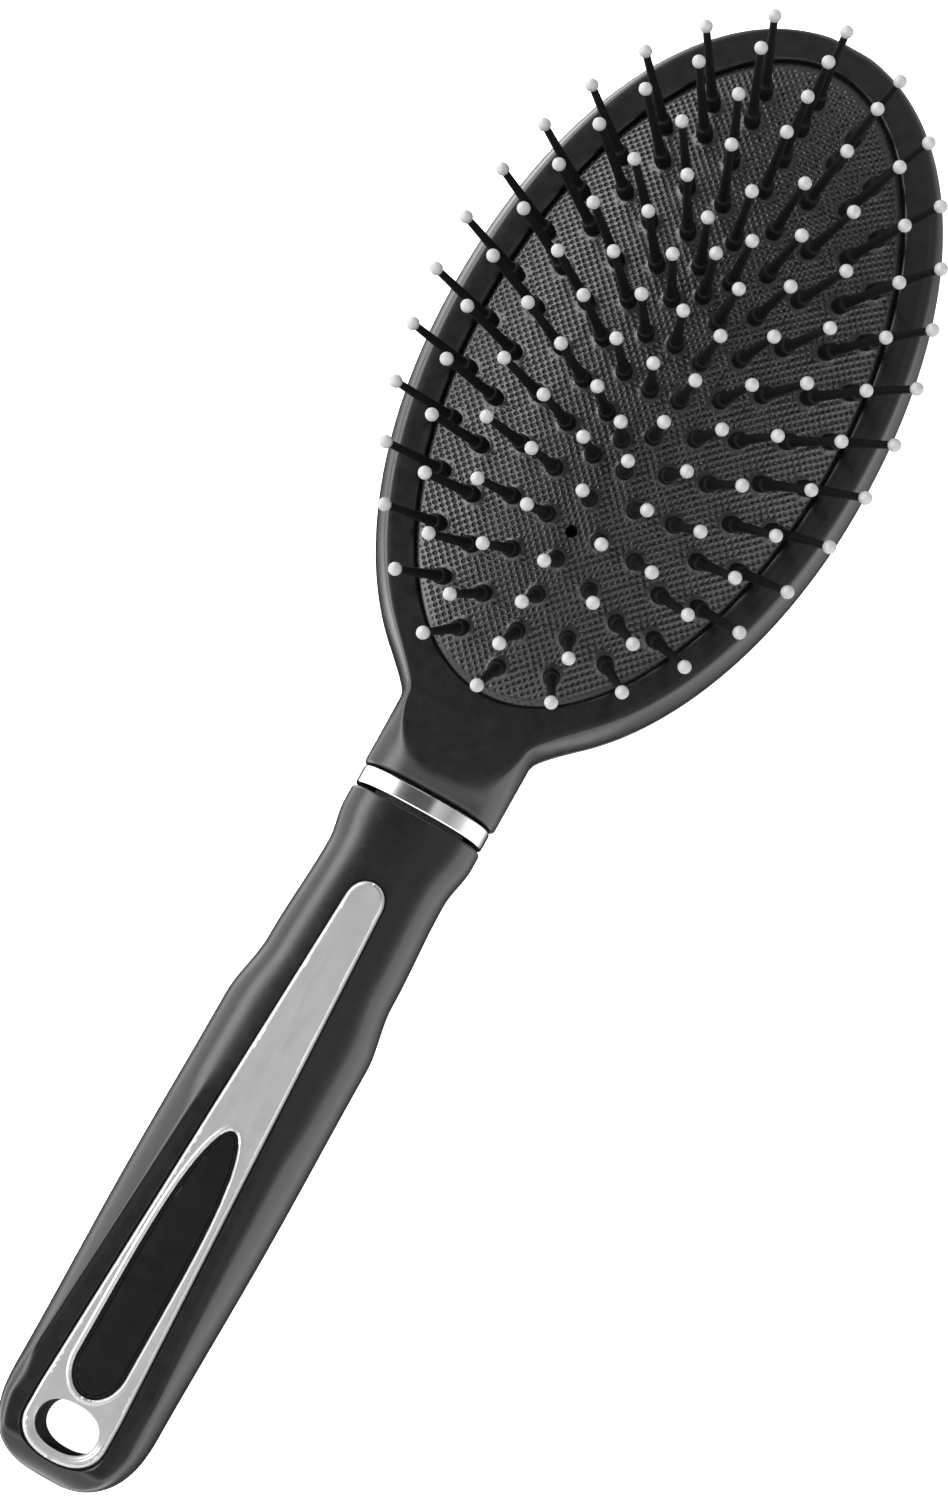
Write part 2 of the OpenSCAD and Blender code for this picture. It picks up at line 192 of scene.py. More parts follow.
def rounded(v, n):
    """A sine or cosine bent so that an oval becomes a superellipse of exponent n."""
    return np.sign(v) * np.abs(v) ** (2 / n)


def soft_max(a, b, k):
    h = np.maximum(k - np.abs(a - b), 0) / k
    return np.maximum(a, b) + h * h * k / 4


def soft_min(a, b, k):
    return -soft_max(-a, -b, k)


def round_off(d, r):
    """How far an edge of radius r pulls in at the distance d from the end."""
    return r - math.sqrt(max(0.0, r * r - max(0.0, r - d) ** 2))


# ---- Outlines: half widths at a place y along the brush, drawn inset by t -----------------------
def oval_w(dy, a, b):
    return a * quarter(dy / b, UPPER_N if dy > 0 else LOWER_N)


def head_w(y, t=0.0):
    dy = y - CUSHION_Y
    w = oval_w(dy, HEAD_A - t, HEAD_B - t)
    return w if dy > BLEND_Y else soft_max(w, NECK_W - t, NECK_BLEND)


def face_w(y, t=0.0):
    """The rim's flat, which runs down the neck as a tongue."""
    dy = y - CUSHION_Y
    w = oval_w(dy, HEAD_A - SIDE_W - t, HEAD_B - SIDE_W + SIDE_LESS - t)
    tongue = TONGUE_HALF * math.sqrt(1 - np.clip((TONGUE_Y - dy) / TONGUE_L, 0, 1) ** TONGUE_N)
    left = np.clip((dy - TONGUE_Y + TONGUE_L) / TONGUE_RUN, 0, 1)
    return w if dy > BLEND_Y else soft_max(w, max(0, tongue - t), TONGUE_BLEND * left + 0.01)


def grip_body_w(y):
    changes = [change * ease((start - y) / length) for start, length, change in GRIP_STEPS]
    return SHOULDER_W + sum(changes)


def end_round(y, r, t, n):
    return quarter(max(0, END_Y + r - y) / (r - t), n)


def grip_half_w(y, t=0.0):
    return (grip_body_w(y) - t) * end_round(y, END_R, t, END_N)


def flat_w(y, t=0.0):
    """The flat on the grip's front, which widens toward the end."""
    d = y - FLAT_Y
    tapered = (FLAT_HALF - FLAT_TAPER * d) * quarter(max(0, d) / FLAT_CAP, 2)
    return min(FLAT_SHARE * grip_half_w(y, t), tapered)


def cap(d, r, p, q):
    """Rounds an outline off over a length r from its end, d being the distance to that end."""
    return np.maximum(0, 1 - np.clip(1 - d / r, 0, 1) ** p) ** (1 / q)


def trim_w(y, t=0.0):
    taper = np.minimum(TRIM_LOW_W, TRIM_TOP_W - TRIM_TAPER * (y - TRIM_TOP)) - t
    top, low = TRIM_CAPS
    return taper * cap(TRIM_TOP - t - y, *top) * cap(y - TRIM_LOW - t, *low)


def insert_w(y, t=0.0):
    top, low = INSERT_CAPS
    return (PAD_W - t) * cap(PAD_TOP - t - y, *top) * cap(y - PAD_LOW - t, *low)


def cos_steps(a, b, n):
    return mix(a, b, (1 - np.cos(np.pi * np.arange(n + 1) / n)) / 2)


def closed_line(width, low, high, n):
    """A symmetrical outline, anticlockwise, from the half width at each height."""
    half = [(float(width(y)), y) for y in cos_steps(low + POINT_GAP, high - POINT_GAP, n)]
    return half + [(-x, y) for x, y in reversed(half)]


def oval(a, b, centre_y, n=256):
    turn = np.linspace(0, 2 * math.pi, n, endpoint=False)
    return [(a * math.cos(t), b * math.sin(t) + centre_y) for t in turn]


def superellipse(a, b, n, count=128):
    t = np.linspace(0, 2 * np.pi, count, endpoint=False)
    return a * rounded(np.cos(t), n), b * rounded(np.sin(t), n)


def hole_line(g):
    """The hanging hole, grown by g."""
    x, y = superellipse(HOLE_A + g, HOLE_B + g, HOLE_N)
    return [(float(px), float(py) + HOLE_Y) for px, py in zip(x, y)]


# ---- Heights ------------------------------------------------------------------------------------
def head_top(y, t=0.0):
    """The rim's plane: rounded off at the tip, and falling to the collar below the tongue."""
    drop = max(0, y - (TIP_Y - t) + SIDE_W) / SIDE_W
    low = np.clip((NECK_END_Y + NECK_FALL_L - y) / NECK_FALL_L, 0, 1)
    fall = NECK_FALL * low ** NECK_FALL_N
    return PART_Z + (RIM_Z - t - PART_Z) * quarter(drop, 2) - fall


def head_depth(y, t=0.0):
    dy = y - CUSHION_Y
    return ((HEAD_D - t) * quarter(max(0, dy) / (HEAD_B - t), BACK_N)
            - (HEAD_D - NECK_D) * ease((BLEND_Y - dy) / DEPTH_RUN))


def grip_ramp(y):
    return ease((RAMP_Y - y) / RAMP_L)


def grip_top(y, t=0.0):
    rise = mix(RIM_Z, GRIP_Z, grip_ramp(y)) - PART_Z - t
    return PART_Z + rise * end_round(y, EDGE_R, t, EDGE_N)


def grip_depth(y, t=0.0):
    return (mix(NECK_D, GRIP_D, grip_ramp(y)) - t) * end_round(y, EDGE_R, t, EDGE_N)


def crown_z(x, y):
    """Height of the crown at a place taken from the cushion's centre."""
    radius = BARREL_R - LONG_R + np.sqrt(LONG_R ** 2 - y ** 2)
    return BASE_Z + RISE - BARREL_R + np.sqrt(radius ** 2 - x ** 2)


# ---- Meshes -------------------------------------------------------------------------------------
def mesh_object(name, points, faces, smooth_angle=35.0):
    """A mesh object from points in millimetres, smooth but for edges sharper than smooth_angle."""
    mesh = bpy.data.meshes.new(name)
    mesh.from_pydata((np.asarray(points, float) * MM).tolist(), [], faces)
    mesh.update()
    obj = bpy.data.objects.new(name, mesh)
    bpy.context.scene.collection.objects.link(obj)
    mesh.shade_smooth()
    mesh.set_sharp_from_angle(angle=math.radians(smooth_angle))
    return obj


def grid_solid(name, outer, inner, flip=False, wrap=False, smooth_angle=35.0):
    """A closed wall between two grids of points. wrap joins each row's end to its start."""
    outer, inner = np.asarray(outer, float), np.asarray(inner, float)
    m, n = outer.shape[:2]
    faces = []

    def add(a, b, c, d):
        faces.append((d, c, b, a) if flip else (a, b, c, d))

    def at(side, i, j):
        return side * m * n + i * n + j % n

    steps = n if wrap else n - 1
    for i in range(m - 1):
        for j in range(steps):
            add(at(0, i, j), at(0, i, j + 1), at(0, i + 1, j + 1), at(0, i + 1, j))
            add(at(1, i, j), at(1, i + 1, j), at(1, i + 1, j + 1), at(1, i, j + 1))
        if not wrap:
            add(at(0, i, 0), at(0, i + 1, 0), at(1, i + 1, 0), at(1, i, 0))
            add(at(0, i, n - 1), at(1, i, n - 1), at(1, i + 1, n - 1), at(0, i + 1, n - 1))
    for j in range(steps):
        add(at(0, 0, j), at(1, 0, j), at(1, 0, j + 1), at(0, 0, j + 1))
        add(at(0, m - 1, j), at(0, m - 1, j + 1), at(1, m - 1, j + 1), at(1, m - 1, j))
    points = np.concatenate([outer.reshape(-1, 3), inner.reshape(-1, 3)])
    return mesh_object(name, points, faces, smooth_angle)


def stack(name, layers):
    """A closed solid from outlines of equal length, each with its height."""
    n = len(layers[0][0])
    points = [(x, y, z) for line, z in layers for x, y in line]
    faces = [tuple(reversed(range(n))), tuple((len(layers) - 1) * n + j for j in range(n))]
    for i in range(len(layers) - 1):
        for j in range(n):
            a, b = i * n + j, i * n + (j + 1) % n
            faces.append((a, b, b + n, a + n))
    return mesh_object(name, points, faces)


def combine(obj, other, operation, smooth_angle=35.0):
    """obj with other cut away or joined on, and other used up."""
    modifier = obj.modifiers.new("combine", "BOOLEAN")
    modifier.operation = operation
    modifier.solver = "EXACT"
    modifier.object = other
    evaluated = obj.evaluated_get(bpy.context.evaluated_depsgraph_get())
    result = bpy.data.meshes.new_from_object(evaluated)
    obj.modifiers.clear()
    obj.data = result
    bpy.data.objects.remove(other)
    result.shade_smooth()
    result.set_sharp_from_angle(angle=math.radians(smooth_angle))
    return obj


def columns(w, f, n, side, flat):
    """Stations across a section of half width w: dense at the parting plane and at the crease f."""
    crease = max(f, 0.45 * w)
    s = np.linspace(0, 1, side)
    v = quarter(crease / w, n) * ease(s)
    x_side = w * quarter(v, n)
    x_flat = crease * (1 - np.linspace(0, 1, flat + 1)[1:] ** 1.5)
    x = np.concatenate([x_side, x_flat])
    return x, np.concatenate([v, quarter(x_flat / w, n)])


def grooved(x, z, depth):
    """Pulls a section in at the parting plane, for the fine groove between two shells."""
    return x - np.minimum(depth, x / 2) * np.exp(-((z - PART_Z) / GROOVE_W) ** 2)


def section(y, w, f, height, n, groove, side=30, flat=14):
    """One row across: height(v, 1) gives z on the right half and height(v, -1) on the left."""
    x, v = columns(w, f, n, side, flat)
    right, left = height(v, 1), height(v, -1)
    half_r = np.stack([grooved(x, right, groove), np.full_like(x, y), right], 1)
    half_l = np.stack([-grooved(x, left, groove), np.full_like(x, y), left], 1)
    return np.concatenate([half_l, half_r[-2::-1]])


def front_row(y, w, f, top, soft=PLAIN_SOFT, groove=0.0, bead=0.0):
    """A section of a front shell, with a fine bead of the given height on its left crease.

    soft is how softly the flat of half width f meets the sides, on the left and on the right.
    """
    h = (top - PART_Z) / quarter(f / w, FRONT_N)

    def height(v, s):
        slope = PART_Z + h * v
        z = np.maximum(PART_Z, soft_min(top, slope, soft[0 if s < 0 else 1]))
        return z + bead * np.exp(-((slope - top) / BEAD_W) ** 2) if s < 0 else z

    return section(y, w, f, height, FRONT_N, groove)


def back_row(y, w, d, floor_z, groove=0.0):
    """A section of a back shell of depth d, cut flat at the height floor_z."""
    f = w * quarter(min(1, (PART_Z - floor_z) / max(d, 1e-6)), BACK_N)

    def height(v, s):
        return np.minimum(PART_Z, soft_max(floor_z, PART_Z - d * v, BACK_SOFT))

    return section(y, w, f, height, BACK_N, groove)


def dress(obj, body, material, slot, *replaced):
    """Gives a piece its material, its body, and the CAD nodes that it stands for."""
    obj.data.materials.clear()
    obj.data.materials.append(material)
    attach(obj, body)
    if replaced:
        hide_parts(*replaced)
    return obj


# ---- Materials ----------------------------------------------------------------------------------
def new_material(name, color, roughness, metallic=0.0, specular=0.5):
    material = bpy.data.materials.new(name)
    material.use_nodes = True
    shader = material.node_tree.nodes["Principled BSDF"]
    shader.inputs["Base Color"].default_value = (*color, 1)
    shader.inputs["Roughness"].default_value = roughness
    shader.inputs["Metallic"].default_value = metallic
    shader.inputs["Specular IOR Level"].default_value = specular
    return material


def noise(material, scale, detail, stretch=(1, 1, 1)):
    """A noise texture in the object's own coordinates, scale in features a metre."""
    nodes, links = material.node_tree.nodes, material.node_tree.links
    place = nodes.new("ShaderNodeTexCoord")
    mapping = nodes.new("ShaderNodeMapping")
    mapping.inputs["Scale"].default_value = stretch
    texture = nodes.new("ShaderNodeTexNoise")
    texture.inputs["Scale"].default_value = scale
    texture.inputs["Detail"].default_value = detail
    links.new(place.outputs["Object"], mapping.inputs["Vector"])
    links.new(mapping.outputs["Vector"], texture.inputs["Vector"])
    return texture.outputs["Fac"]


def vary(material, source, low, high, socket):
    """Drives a shader socket between two values, numbers or colours, by a texture's middle range."""
    nodes, links = material.node_tree.nodes, material.node_tree.links
    node = nodes.new("ShaderNodeValToRGB")
    for element, place, value in zip(node.color_ramp.elements, (0.3, 0.7), (low, high)):
        element.position = place
        element.color = (*value, 1) if isinstance(value, tuple) else (value, value, value, 1)
    links.new(source, node.inputs["Fac"])
    links.new(node.outputs["Color"], nodes["Principled BSDF"].inputs[socket])


def bump(material, source, strength, distance):
    """Roughens a surface by a texture, distance being the depth in metres."""
    nodes, links = material.node_tree.nodes, material.node_tree.links
    node = nodes.new("ShaderNodeBump")
    node.inputs["Strength"].default_value = strength
    node.inputs["Distance"].default_value = distance
    links.new(source, node.inputs["Height"])
    links.new(node.outputs["Normal"], nodes["Principled BSDF"].inputs["Normal"])


def grey(value):
    """A grey with a trace of blue."""
    return (value, value, value * 1.02)


def moulded_plastic(name, shade, roughness, specular=0.5):
    """Moulded plastic: slightly cloudy in shade, uneven in shine, with a fine grain."""
    material = new_material(name, grey(shade), roughness, specular=specular)
    vary(material, noise(material, 60, 6), grey(shade * 0.92), grey(shade * 1.1), "Base Color")
    vary(material, noise(material, 500, 3), roughness - 0.03, roughness + 0.04, "Roughness")
    bump(material, noise(material, 4000, 2), 0.12, 0.00002)
    return material


def pit_wave(material):
    """The embossing's own pattern as a texture: 1 at the bottom of a pit, -1 where ridges cross."""
    nodes, links = material.node_tree.nodes, material.node_tree.links
    place = nodes.new("ShaderNodeTexCoord")
    axes = nodes.new("ShaderNodeSeparateXYZ")
    links.new(place.outputs["Object"], axes.inputs["Vector"])
    product = nodes.new("ShaderNodeMath")
    product.operation = "MULTIPLY"
    for slot, (axis, pitch) in enumerate((("X", PIT_X), ("Y", PIT_Y))):
        scale = nodes.new("ShaderNodeMath")
        scale.operation = "MULTIPLY"
        scale.inputs[1].default_value = 2 * math.pi / (pitch * MM)
        wave = nodes.new("ShaderNodeMath")
        wave.operation = "COSINE"
        links.new(axes.outputs[axis], scale.inputs[0])
        links.new(scale.outputs["Value"], wave.inputs[0])
        links.new(wave.outputs["Value"], product.inputs[slot])
    return product.outputs["Value"]


def rubber():
    """Rubber that is duller in the pits of its embossing, with painted shade darkening its colour
    there.
    """
    material = new_material("rubber", grey(0.006), 0.3, specular=0.55)
    # Painted shade: the base colour darkens from the ridges into the pits, where shade falls.
    vary(material, pit_wave(material), grey(0.009), grey(0.001), "Base Color")
    vary(material, pit_wave(material), 0.24, 0.6, "Roughness")
    bump(material, noise(material, 3000, 3), 0.15, 0.00003)
    return material


def chrome():
    material = new_material("chrome", (0.72, 0.72, 0.73), 0.09, metallic=1.0)
    vary(material, noise(material, 300, 4, (1, 6, 1)), 0.06, 0.13, "Roughness")
    bump(material, noise(material, 700, 2), 0.03, 0.00002)
    return material


def satin_metal():
    """Silver paint or satin plating, brushed along the trim."""
    material = new_material("satin_metal", (0.36, 0.36, 0.37), 0.34, metallic=0.75)
    vary(material, noise(material, 900, 5, (1, 0.15, 1)), 0.34, 0.39, "Roughness")
    vary(material, noise(material, 400, 4), (0.41, 0.41, 0.415), (0.44, 0.44, 0.445), "Base Color")
    bump(material, noise(material, 5000, 2), 0.05, 0.00001)
    return material


def tip_enamel():
    material = new_material("tip_enamel", (0.5, 0.5, 0.49), 0.35)
    vary(material, noise(material, 800, 4), (0.27, 0.27, 0.265), (0.34, 0.34, 0.335), "Base Color")
    vary(material, noise(material, 1500, 2), 0.3, 0.42, "Roughness")
    bump(material, noise(material, 2500, 2), 0.1, 0.00003)
    return material


# ---- Head ---------------------------------------------------------------------------------------
def head_rows(inset):
    """Places of the sections along the head, each with how far its outline is drawn in."""
    neck = [NECK_END_Y + d for d in EDGE_ROWS]
    body = list(np.linspace(NECK_END_Y + 1, CUSHION_Y + BLEND_Y, 45)[:-1])
    turn = np.linspace(0, math.pi / 2, 96)[:-1]
    tip = [mix(CUSHION_Y + BLEND_Y, TIP_Y - inset, math.sin(t)) for t in turn]
    rows = neck + body + tip + [TIP_Y - inset - CLOSE]
    return [(y, inset if inset else round_off(y - NECK_END_Y, EDGE)) for y in rows]


def head_front(material):
    outer = [front_row(y, head_w(y, t), face_w(y, t), head_top(y, t), RIM_SOFT, GROOVE)
             for y, t in head_rows(0)]
    inner = [front_row(y, head_w(y, t), face_w(y, t), head_top(y, t)) for y, t in head_rows(WALL)]
    obj = grid_solid("head_front", outer, inner)
    # The opening's rounded edge: how much wider it is, and its height over the rim
    lip = [(0, PART_Z - RIM_Z), (0, -0.45), (0.07, -0.2), (0.22, -0.05), (0.5, 0.05)]
    layers = [(oval(PAD_A + FIT + g, PAD_B + FIT + g, CUSHION_Y), RIM_Z + up) for g, up in lip]
    combine(obj, stack("opening", layers), "DIFFERENCE")
    return dress(obj, "brush_body", material, "head_front", "head_front_frame")


def head_back(material):
    outer = [back_row(y, head_w(y, t), head_depth(y, t), 0, GROOVE) for y, t in head_rows(0)]
    inner = [back_row(y, head_w(y, t), head_depth(y, t), WALL) for y, t in head_rows(WALL)]
    obj = grid_solid("head_back", outer, inner, flip=True)
    return dress(obj, "brush_body", material, "head_back", "head_back_shell")


# ---- Cushion and pins ---------------------------------------------------------------------------
def ring_spots(ring):
    """Roots of one ring's pins, the same length of outline apart, from the cushion's centre."""
    a, b, offset, count, n = ring

    def point(t):
        return [a * rounded(np.sin(t), n), b * rounded(np.cos(t), n) + offset]

    t = np.linspace(0, 2 * np.pi, 241)
    steps = np.hypot(*np.diff(point(t)))
    length = np.concatenate([[0], np.cumsum(steps)])
    return np.stack(point(np.interp(length[-1] * np.arange(count) / count, length, t)), 1)


def all_spots():
    return [ring_spots(r) for r in RINGS] + [np.array([(0.0, y) for y in ROW_Y])]


def emboss(x, y):
    """Diamond pits in staggered rows across the rubber, in millimetres below the crown."""
    wave = np.cos(2 * np.pi * x / PIT_X) * np.cos(2 * np.pi * y / PIT_Y)
    return PIT_DEPTH * ease((wave + 0.05) / 0.55)


def cushion(material):
    """The embossed membrane: a square grid drawn onto the oval, closed by a wider flat underside."""
    across, along = 341, 641
    u, v = np.meshgrid(np.linspace(-1, 1, across), np.linspace(-1, 1, along))
    disc_x, disc_y = u * np.sqrt(1 - v ** 2 / 2), v * np.sqrt(1 - u ** 2 / 2)
    x, y = PAD_A * disc_x, PAD_B * disc_y
    reach = np.hypot(disc_x, disc_y)
    z = crown_z(x, y)
    near = np.full_like(x, PAD_B)
    for spots in all_spots():
        for px, py in spots:
            near = np.minimum(near, np.hypot(x - px, y - py))
    embossed = ease((near - PIN_RIM) / 0.4) * ease((BORDER - reach) / 0.02)
    z_top = z - emboss(x, y + CUSHION_Y) * embossed + PIN_RIM_UP * ease((PIN_RIM - near) / 0.5)
    # The vent: grid points near its edge are drawn onto two close circles, and those inside drop
    reach = np.hypot(x, y - VENT_Y)
    drawn = np.where(reach < VENT_R, VENT_R - 0.02, VENT_R + 0.02)
    pull = np.where(np.abs(reach - VENT_R) < 0.14, drawn / reach, 1)
    z_top = np.where(reach < VENT_R, FLANGE_Z + 1, z_top)
    top = np.stack([x * pull, (y - VENT_Y) * pull + VENT_Y + CUSHION_Y, z_top], 2)
    under = np.stack([x * (1 + FLANGE_W / PAD_A), y * (1 + FLANGE_W / PAD_B) + CUSHION_Y,
                      np.full_like(x, FLANGE_Z)], 2)
    obj = grid_solid("cushion", top, under, smooth_angle=60)
    dress(obj, "brush_body", material, "cushion", "cushion_membrane")
    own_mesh(obj)
    return obj


def lathe(profile, around=20):
    """Points and faces of a profile of (radius, height) turned about Z, closed at both ends."""
    turn = np.linspace(0, 2 * np.pi, around, endpoint=False)
    rings = [[(r * math.cos(t), r * math.sin(t), z) for t in turn] for r, z in profile]
    points = [p for ring in rings for p in ring]
    faces = [tuple(reversed(range(around))), tuple(range(len(points) - around, len(points)))]
    for i in range(len(profile) - 1):
        for j in range(around):
            a, b = i * around + j, i * around + (j + 1) % around
            faces.append((a, b, b + around, a + around))
    return np.array(points), faces


def arc(cx, cz, r, start, end, n):
    """Points on an arc, its ends in degrees."""
    return [(cx + r * math.cos(math.radians(t)), cz + r * math.sin(math.radians(t)))
            for t in np.linspace(start, end, n)]


def pin_profile():
    """Flange and stem in the rubber, a rounded boss on it, and a tapering shank with a foot fillet."""
    top = PIN_L - BALL_FLAT
    return ([(1.55, -2.45), (1.7, -2.3), (1.7, -1.8), (1.55, -1.65), (1.05, -1.65), (1.05, 0.45)]
            + arc(1.15, 0.6, 0.15, -90, 0, 4) + [(1.22, 1.4)] + arc(0.97, 2.05, 0.25, 10, 90, 5)
            + [(0.88, 2.36), (0.81, 2.6), (0.78, 3.2), (0.66, 9.0), (0.56, top - 0.25), (0.62, top)])


def ball_profile():
    start = -math.degrees(math.asin(BALL_FLAT / BALL_R))
    return arc(0, PIN_L, BALL_R, start, 88, 12)


def many(name, spots, profile):
    """One mesh with the profile turned at each spot, on each pin's own leaning axis."""
    points, faces = lathe(profile)
    all_points, all_faces = [], []
    for px, py in spots:
        lean = Vector((LEAN_X * px, LEAN_Y * py, 1)).normalized()
        turn = np.array(Vector((0, 0, 1)).rotation_difference(lean).to_matrix())
        foot = np.array([px, py + CUSHION_Y, crown_z(px, py)])
        all_faces += [tuple(i + len(points) * len(all_points) for i in face) for face in faces]
        all_points.append(points @ turn.T + foot)
    return mesh_object(name, np.concatenate(all_points), all_faces, 50)


def pins(pin_material, tip_material):
    for k, spots in enumerate(all_spots(), 1):
        body = f"pin_ring_{k}"
        dress(many(f"pins_{k}", spots, pin_profile()), body, pin_material, "pins", f"pins_ring_{k}")
        dress(many(f"tips_{k}", spots, ball_profile()), body, tip_material, "tips", f"tips_ring_{k}")


# ---- Collar and grip ----------------------------------------------------------------------------
def collar(material):
    low_y, high_y = COLLAR_LOW[1], COLLAR_HIGH[1]
    centre = (COLLAR_LOW[2] + COLLAR_HIGH[2]) / 2
    half = (COLLAR_HIGH[2] - COLLAR_LOW[2]) / 2
    rows = [low_y + d for d in COLLAR_ROWS] + [high_y - d for d in reversed(COLLAR_ROWS)]
    outer, inner = [], []
    for y in rows:
        t = round_off(min(y - low_y, high_y - y), COLLAR_EDGE)
        x, z = superellipse(COLLAR_HIGH[0] - t, half - t, FRONT_N)
        outer.append(np.stack([x, np.full_like(x, y), z + centre], 1))
        x, z = superellipse(BORE_A, BORE_H, BORE_N)
        inner.append(np.stack([x, np.full_like(x, y), z + centre - BORE_DROP], 1))
    obj = grid_solid("collar", outer, inner, flip=True, wrap=True)
    return dress(obj, "brush_body", material, "collar", "collar_ring")


def grip_rows(inset):
    """Places of the sections along the grip, each with how far its outline is drawn in."""
    top = [GRIP_TOP_Y - d for d in EDGE_ROWS]
    body = list(np.linspace(GRIP_TOP_Y - 1, END_Y + END_R, 90))
    turn = np.linspace(0, math.pi / 2, 40)[1:-1]
    end = [mix(END_Y + END_R, END_Y + inset, math.sin(t)) for t in turn]
    rows = top + body + end + [END_Y + inset + CLOSE]
    return [(y, inset if inset else round_off(GRIP_TOP_Y - y, EDGE)) for y in rows]


def sharpness(y):
    """How sharp the flat's edges are: fully so along the swelling of the grip."""
    return ease((SHARP_TOP - y) / SHARP_TOP_L) * ease((y - SHARP_LOW) / SHARP_LOW_L)


def crease(y):
    """Softness of the flat's left and right edges."""
    return mix(FADED, SHARP_LEFT, sharpness(y)), mix(FADED, SHARP_RIGHT, sharpness(y))


def tube(name, g, low, high):
    """A straight plug with the hanging hole's outline grown by g."""
    return stack(name, [(hole_line(g), low), (hole_line(g), high)])


def grip_front(material):
    outer = [front_row(y, grip_half_w(y, t), flat_w(y, t), grip_top(y, t), crease(y), GROOVE,
                       BEAD * sharpness(y)) for y, t in grip_rows(0)]
    inner = [front_row(y, grip_half_w(y, t), flat_w(y, t), grip_top(y, t))
             for y, t in grip_rows(WALL)]
    obj = grid_solid("grip_front", outer, inner, flip=True)
    combine(obj, tube("boss", HOLE_WALL, PART_Z, POCKET_Z + 0.2), "UNION")
    # The pocket's rounded edge: how much wider than the trim, and its height
    pocket = [(0.3, POCKET_Z - 0.05), (0.3, GRIP_Z - 0.25), (0.4, GRIP_Z - 0.08), (0.6, GRIP_Z + 0.1)]
    layers = [(closed_line(lambda y, g=g: trim_w(y, -g), TRIM_LOW - g, TRIM_TOP + g, 60), z)
              for g, z in pocket]
    combine(obj, stack("pocket", layers), "DIFFERENCE")
    combine(obj, tube("hole", 0, PART_Z - 1, GRIP_Z + 1), "DIFFERENCE")
    return dress(obj, "brush_body", material, "grip", "grip_front_shell")


def grip_back(material):
    outer = [back_row(y, grip_half_w(y, t), grip_depth(y, t), 0, GROOVE) for y, t in grip_rows(0)]
    inner = [back_row(y, grip_half_w(y, t), grip_depth(y, t), WALL) for y, t in grip_rows(WALL)]
    obj = grid_solid("grip_back", outer, inner)
    combine(obj, tube("boss", HOLE_WALL, WALL / 2, PART_Z), "UNION")
    # The hole's rounded mouth: how much wider it is, and its height
    mouth = [(0.8, -0.3), (0.35, 0.1), (0.1, 0.4), (0, 0.8), (0, PART_Z + 1)]
    combine(obj, stack("hole", [(hole_line(g), z) for g, z in mouth]), "DIFFERENCE")
    return dress(obj, "brush_body", material, "grip", "grip_back_shell")


def away(x, y, line):
    """Distance from each point to a dense outline."""
    line = np.asarray(line)
    flat = np.stack([x.ravel(), y.ravel()], 1)
    return np.sqrt(((flat[:, None, :] - line[None]) ** 2).sum(2)).min(1).reshape(x.shape)


def plate(name, width, low, high, floor_z, height, rows, cols, inner=None):
    """A flat-bottomed plate with the outline of width, and height(x, y) as its face.

    Where an inner width is given, a third of the columns stay inside it and the rest keep to its line.
    """
    y = cos_steps(low + POINT_GAP, high - POINT_GAP, rows)
    s = np.linspace(-1, 1, cols)
    x = np.outer(width(y), np.sin(s * np.pi / 2))
    if inner:
        share = np.clip(inner(y) / np.maximum(width(y), 0.01), 0.33, 0.9)[:, None]
        reach = np.abs(s)[None]
        x = np.where(reach < 1 / 3, 3 * reach * share, share + (1 - share) * (1.5 * reach - 0.5))
        x = np.sign(s)[None] * x * width(y)[:, None]
    y = np.repeat(y[:, None], cols, 1)
    face = np.stack([x, y, height(x, y)], 2)
    under = np.stack([x, y, np.full_like(x, floor_z)], 2)
    return grid_solid(name, face, under, smooth_angle=40)


def trim(material):
    """The trim: an edge bevel, a raised ring round the recess, and a lip on the hole's low side."""
    outline = closed_line(trim_w, TRIM_LOW, TRIM_TOP, 500)
    recess = closed_line(insert_w, PAD_LOW, PAD_TOP, 300)

    def height(x, y):
        edge, rim, hole = (away(x, y, line) for line in (outline, recess, hole_line(0)))
        bevel = 0.35 * quarter(np.clip(edge / 0.5, 0, 1), 2)
        ring = 0.1 * ease(1 - np.abs(rim - 0.35) / 0.4)
        drop = 0.2 * ease((0.2 - rim) / 0.2)
        steps = 0.14 * ease((0.8 - hole) / 0.15) + 0.14 * ease((0.4 - hole) / 0.12)
        return TRIM_Z - 0.1 - bevel + ring - drop - ease((HOLE_Y + 1 - y) / 3) * steps

    obj = plate("trim", trim_w, TRIM_LOW, TRIM_TOP, POCKET_Z, height, 420, 97, insert_w)
    mouth = closed_line(insert_w, PAD_LOW, PAD_TOP, 80)
    combine(obj, stack("recess", [(mouth, POCKET_Z - 1), (mouth, TRIM_Z + 1)]), "DIFFERENCE", 40)
    combine(obj, tube("hole", 0, POCKET_Z - 1, TRIM_Z + 1), "DIFFERENCE", 40)
    return dress(obj, "brush_body", material, "trim", "grip_trim")


def insert(material):
    """The insert: a slightly crowned face with a rounded edge, a gap inside its recess."""
    gap = edge = 0.35
    low, high = PAD_LOW + gap, PAD_TOP - gap

    def width(y):
        return insert_w(y, gap)

    def height(x, y):
        crowned = TRIM_Z - 0.3 - 0.15 * (x / PAD_W) ** 2
        return crowned - 0.4 * quarter(np.clip(away(x, y, outline) / edge, 0, 1), 2)

    outline = closed_line(width, low, high, 300)
    obj = plate("insert", width, low, high, POCKET_Z, height, 220, 41)
    return dress(obj, "brush_body", material, "insert", "grip_insert")


